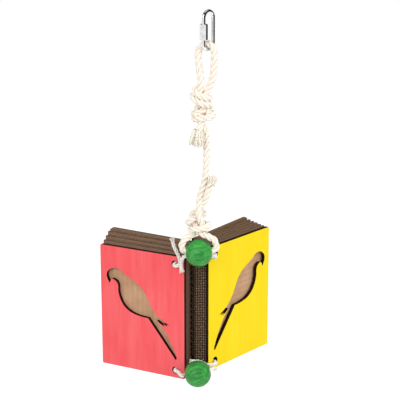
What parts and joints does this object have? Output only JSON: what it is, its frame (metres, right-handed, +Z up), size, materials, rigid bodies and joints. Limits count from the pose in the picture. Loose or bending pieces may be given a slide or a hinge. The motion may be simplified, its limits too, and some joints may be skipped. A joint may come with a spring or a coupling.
{
  "type": "hanging bird chew toy",
  "caption": "Book of corrugated card leaves between stained plywood covers with parrot cut-outs, threaded on cord rings with wooden beads and hung by a knotted cotton rope from a quick link.",
  "frame": {"origin": "inner top of the quick link, where a hook or a cage bar carries the toy", "axes": "+Z up, the way the toy hangs; -Y is the side that the spine of the book and both beads face; +X to the right of someone who looks at that side"},
  "size_m": [0.1781, 0.122, 0.3879],
  "materials": {
    "steel": "bright zinc plate",
    "cotton_rope": "twisted undyed cotton, frayed at its cut ends",
    "green_bead": "turned wood, stained green, satin",
    "red_plywood": "plywood stained red, laser-cut edges burnt dark",
    "yellow_plywood": "plywood stained yellow, laser-cut edges burnt dark",
    "corrugated_card": "brown kraft corrugated board, laser-cut edges scorched"
  },
  "bodies": {
    "hanger": {"quick_link": "steel", "rope_top_loop": "cotton_rope", "rope_upper_knot": "cotton_rope", "rope_frayed_end": "cotton_rope", "rope_standing_part": "cotton_rope", "rope_tail": "cotton_rope", "rope_lower_knot": "cotton_rope", "rope_bead_loop": "cotton_rope", "top_bead": "green_bead", "bottom_bead": "green_bead", "top_ring_cord": "cotton_rope", "bottom_ring_cord": "cotton_rope"},
    "link_nut": {"quick_link_nut": "steel"},
    "red_leaf_4": {"red_leaf_4": "corrugated_card"},
    "red_leaf_3": {"red_leaf_3": "corrugated_card"},
    "red_leaf_2": {"red_leaf_2": "corrugated_card"},
    "red_leaf_1": {"red_leaf_1": "corrugated_card"},
    "red_cover": {"red_cover": "red_plywood"},
    "yellow_leaf_6": {"yellow_leaf_6": "corrugated_card"},
    "yellow_leaf_5": {"yellow_leaf_5": "corrugated_card"},
    "yellow_leaf_4": {"yellow_leaf_4": "corrugated_card"},
    "yellow_leaf_3": {"yellow_leaf_3": "corrugated_card"},
    "yellow_leaf_2": {"yellow_leaf_2": "corrugated_card"},
    "yellow_leaf_1": {"yellow_leaf_1": "corrugated_card"},
    "yellow_cover": {"yellow_cover": "yellow_plywood"}
  },
  "joints": [
    {"name": "quick_link_nut_slide", "type": "slide", "parent": "hanger", "child": "link_nut", "axis": [0, 0, 1], "range_m": [0, 0.0054]},
    {"name": "red_leaf_4_turn", "type": "hinge", "parent": "hanger", "child": "red_leaf_4", "pos_m": [-0.0166, 0.0286, -0.309], "axis": [0, 0, -1], "range_deg": [0, 47.5], "deforming": ["top_ring_cord", "bottom_ring_cord"]},
    {"name": "red_leaf_3_turn", "type": "hinge", "parent": "red_leaf_4", "child": "red_leaf_3", "pos_m": [-0.0166, 0.0286, -0.309], "axis": [0, 0, -1], "range_deg": [-3, 0.7]},
    {"name": "red_leaf_2_turn", "type": "hinge", "parent": "red_leaf_3", "child": "red_leaf_2", "pos_m": [-0.0166, 0.0286, -0.309], "axis": [0, 0, -1], "range_deg": [-3, 0.7]},
    {"name": "red_leaf_1_turn", "type": "hinge", "parent": "red_leaf_2", "child": "red_leaf_1", "pos_m": [-0.0166, 0.0286, -0.309], "axis": [0, 0, -1], "range_deg": [-3, 0.7]},
    {"name": "red_cover_turn", "type": "hinge", "parent": "red_leaf_1", "child": "red_cover", "pos_m": [-0.0166, 0.0286, -0.309], "axis": [0, 0, -1], "range_deg": [-5, 0.7]},
    {"name": "yellow_leaf_6_turn", "type": "hinge", "parent": "hanger", "child": "yellow_leaf_6", "pos_m": [-0.0166, 0.0286, -0.309], "axis": [0, 0, 1], "range_deg": [0, 47.5], "deforming": ["top_ring_cord", "bottom_ring_cord"]},
    {"name": "yellow_leaf_5_turn", "type": "hinge", "parent": "yellow_leaf_6", "child": "yellow_leaf_5", "pos_m": [-0.0166, 0.0286, -0.309], "axis": [0, 0, 1], "range_deg": [-1, 0.85]},
    {"name": "yellow_leaf_4_turn", "type": "hinge", "parent": "yellow_leaf_5", "child": "yellow_leaf_4", "pos_m": [-0.0166, 0.0286, -0.309], "axis": [0, 0, 1], "range_deg": [-1, 0.85]},
    {"name": "yellow_leaf_3_turn", "type": "hinge", "parent": "yellow_leaf_4", "child": "yellow_leaf_3", "pos_m": [-0.0166, 0.0286, -0.309], "axis": [0, 0, 1], "range_deg": [-1, 0.85]},
    {"name": "yellow_leaf_2_turn", "type": "hinge", "parent": "yellow_leaf_3", "child": "yellow_leaf_2", "pos_m": [-0.0166, 0.0286, -0.309], "axis": [0, 0, 1], "range_deg": [-1, 0.85]},
    {"name": "yellow_leaf_1_turn", "type": "hinge", "parent": "yellow_leaf_2", "child": "yellow_leaf_1", "pos_m": [-0.0166, 0.0286, -0.309], "axis": [0, 0, 1], "range_deg": [-1, 0.85]},
    {"name": "yellow_cover_turn", "type": "hinge", "parent": "yellow_leaf_1", "child": "yellow_cover", "pos_m": [-0.0166, 0.0286, -0.309], "axis": [0, 0, 1], "range_deg": [-1.3, 0.85]}
  ]
}
